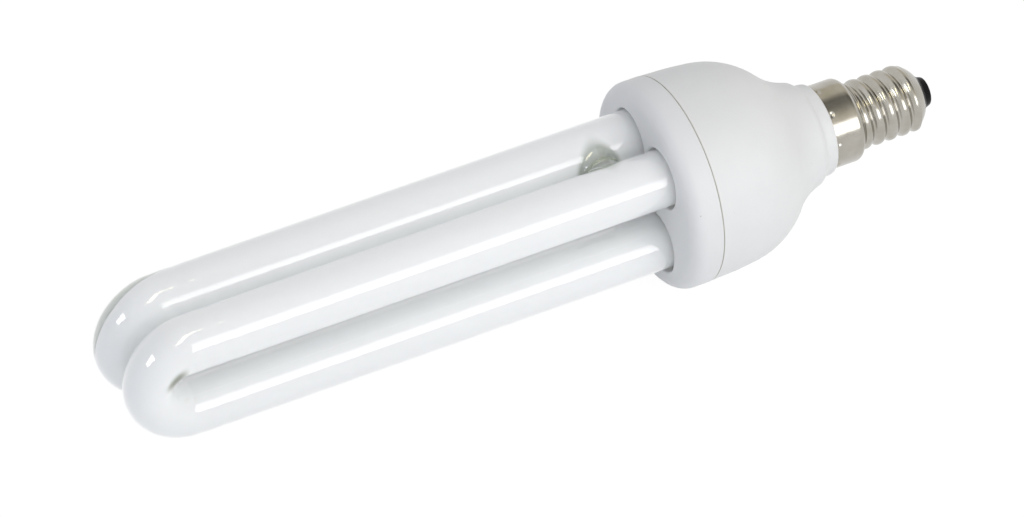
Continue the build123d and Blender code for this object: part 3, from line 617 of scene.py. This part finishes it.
def paperFloor():
    # White paper sweep: a plain white to the eye, with the lamp's shadow left in its diffuse share
    material, tree = newMaterial("whitePaperSweep")
    paper = addNode(tree, "ShaderNodeBsdfDiffuse", {"Color": studio["paper"]})
    faint = addNode(tree, "ShaderNodeBsdfDiffuse", {"Color": (studio["floorShade"],) * 3 + (1,)})
    white = addNode(tree, "ShaderNodeEmission", {"Strength": studio["floorWhite"]})
    bright = addNode(tree, "ShaderNodeAddShader",
                     links={0: faint.outputs["BSDF"], 1: white.outputs["Emission"]})
    mixed = addNode(tree, "ShaderNodeMixShader",
                    links={0: seenOutright(tree), 1: paper.outputs["BSDF"], 2: bright.outputs["Shader"]})
    output(tree, mixed.outputs["Shader"])
    return material


floorMesh = bpy.data.meshes.new("floor")
reach = studio["floorReach"]
floorMesh.from_pydata([(-reach, -reach, 0), (reach, -reach, 0), (reach, reach, 0), (-reach, reach, 0)],
                      [], [(0, 1, 2, 3)])
floorMesh.materials.append(paperFloor())
floor = bpy.data.objects.new("floor", floorMesh)
bpy.context.scene.collection.objects.link(floor)

world = bpy.data.worlds.new("studio")
bpy.context.scene.world = world
world.use_nodes = True
tree = world.node_tree
tree.nodes.clear()
heading = addNode(tree, "ShaderNodeTexCoord").outputs["Generated"]  # the way a ray leaves, -1 to 1
across = addNode(tree, "ShaderNodeSeparateXYZ", links={0: heading})
share = addNode(tree, "ShaderNodeMapRange", {"From Min": -1.0, "From Max": 1.0},
                {"Value": across.outputs["X"]})
# Light from all round, cooler towards the bends and weaker towards the cap
daylight = addNode(tree, "ShaderNodeValToRGB", links={"Fac": share.outputs["Result"]})
setStops(daylight, (0.1, studio["fromBends"]), (0.5, (1, 1, 1, 1)), (0.9, studio["fromCap"]))
ambient = addNode(tree, "ShaderNodeBackground", {"Strength": studio["worldLight"]},
                  {"Color": daylight.outputs["Color"]})
backdrop = addNode(tree, "ShaderNodeBackground", {"Color": (1, 1, 1, 1), "Strength": 1.0})
mixed = addNode(tree, "ShaderNodeMixShader",
                links={0: seenOutright(tree), 1: ambient.outputs["Background"],
                       2: backdrop.outputs["Background"]})
addNode(tree, "ShaderNodeOutputWorld", links={"Surface": mixed.outputs["Shader"]})


def areaLamp(name, way, distance, width, length, radiance):
    # A flat light that faces the lamp's middle, with its length as near along the lamp's axis as
    # that allows. Its power is radiance * pi * width * length, in watts
    data = bpy.data.lights.new(name, "AREA")
    data.shape = "RECTANGLE"
    data.size, data.size_y = length, width
    data.energy = radiance * math.pi * width * length
    lamp = bpy.data.objects.new(name, data)
    bpy.context.scene.collection.objects.link(lamp)
    way = np.array(way, float)
    way = way / np.linalg.norm(way)
    aim = toWorld([0, 0, -30])
    worldWay = way[0] * upWay + way[1] * viewerWay + way[2] * axisWay
    z = Vector(worldWay)
    x = Vector(axisWay) - z * Vector(axisWay).dot(z)
    x.normalize()
    y = z.cross(x)
    turned = Matrix((x, y, z)).transposed().to_4x4()
    turned.translation = Vector(aim) + z * distance
    lamp.matrix_world = turned
    return lamp


softbox = areaLamp("softbox", studio["softboxWay"], studio["softboxDistance"],
                   studio["softboxWidth"], studio["softboxLength"], studio["softboxLight"])

# Cards that only reflections show, each part of a cylinder round the lamp's axis: the angles from
# straight up towards the viewer, the strength at each, the reach along the axis at the first angle
# and at the last, and the distance from it in mm
cards = {
    "overheadFlag": {"angles": (-70, -34, -26, -16, 4, 16, 30, 48),
                     "light": (0.8, 0.82, 0.45, 0.15, 0.22, 0.42, 0.76, 1.0),
                     "along": ((262, 900), (262, 900)), "distance": 700,
                     "colour": (1.0, 0.95, 0.82, 1)},
    "softboxFace": {"angles": (49, 78.5), "light": (3.0, 4.6), "along": ((20, 450), (20, 450)),
                    "distance": 660, "colour": (1, 1, 1, 1)},
    "windowPane": {"angles": (-10, 26), "light": (9, 9), "along": ((-1000, -570), (-1000, -570)),
                   "distance": 363, "colour": (0.9, 0.95, 1.0, 1)},
    "roomLamp": {"angles": (6, 28), "light": (7, 7), "along": ((-60, 76), (-298, -162)),
                 "distance": 600, "colour": (1.0, 0.92, 0.66, 1)},
}


def reflectionCard(name, card):
    # A strip of quads, two points at each turn: (distance * cos(turn), distance * sin(turn)) and,
    # along the axis, the card's reach there. Both the reach and the strength change evenly between
    # the angles given
    rows = 25
    turn = np.radians(np.linspace(card["angles"][0], card["angles"][-1], rows))[:, None]
    strength = np.interp(np.degrees(turn[:, 0]), card["angles"], card["light"])
    share = np.linspace(0, 1, rows)[:, None]
    along = np.array(card["along"][0]) * (1 - share) + np.array(card["along"][1]) * share
    points = np.stack([card["distance"] * np.cos(turn) + 0 * along,
                       card["distance"] * np.sin(turn) + 0 * along, along], -1)
    n = np.arange(rows - 1)
    faces = np.stack([2 * n, 2 * n + 1, 2 * n + 3, 2 * n + 2], -1)
    material, tree = newMaterial(name)
    level = addNode(tree, "ShaderNodeAttribute", attribute_name="strength")
    shine = addNode(tree, "ShaderNodeEmission", {"Color": card["colour"]}, {"Strength": level.outputs["Fac"]})
    output(tree, shine.outputs["Emission"])
    sheet = putMesh(name, points.reshape(-1, 3), faces, material, {"strength": np.repeat(strength, 2)})
    sheet.visible_camera = sheet.visible_diffuse = False
    sheet.visible_transmission = sheet.visible_shadow = False


for name, card in cards.items():
    reflectionCard(name, card)
softbox.visible_glossy = False  # its face in reflections is the card

# Angles in degrees, the distance in metres, the lens and sensor in mm, the aim in the lamp's frame
view = {"azimuth": -30.977, "elevation": 41.200, "lean": 5.170, "distance": 1.8077,
        "lens": 329.87, "sensor": 36.0, "farthest": 20.0, "aim": (-3.56, 2.37, -30.05)}
az, el, lean = (math.radians(view[key]) for key in ("azimuth", "elevation", "lean"))
back = Vector((math.sin(az) * math.cos(el), -math.cos(az) * math.cos(el), math.sin(el)))
right = Vector((math.cos(az), math.sin(az), 0))
up = back.cross(right)
rightTurned = right * math.cos(lean) + up * math.sin(lean)
upTurned = back.cross(rightTurned)
camera = bpy.data.objects.new("camera", bpy.data.cameras.new("camera"))
bpy.context.scene.collection.objects.link(camera)
placed = Matrix((rightTurned, upTurned, back)).transposed().to_4x4()
placed.translation = Vector(toWorld(view["aim"])) + back * view["distance"]
camera.matrix_world = placed
camera.data.lens = view["lens"]
camera.data.sensor_width = view["sensor"]
camera.data.clip_end = view["farthest"]
bpy.context.scene.camera = camera
bpy.context.scene.view_settings.view_transform = "Standard"
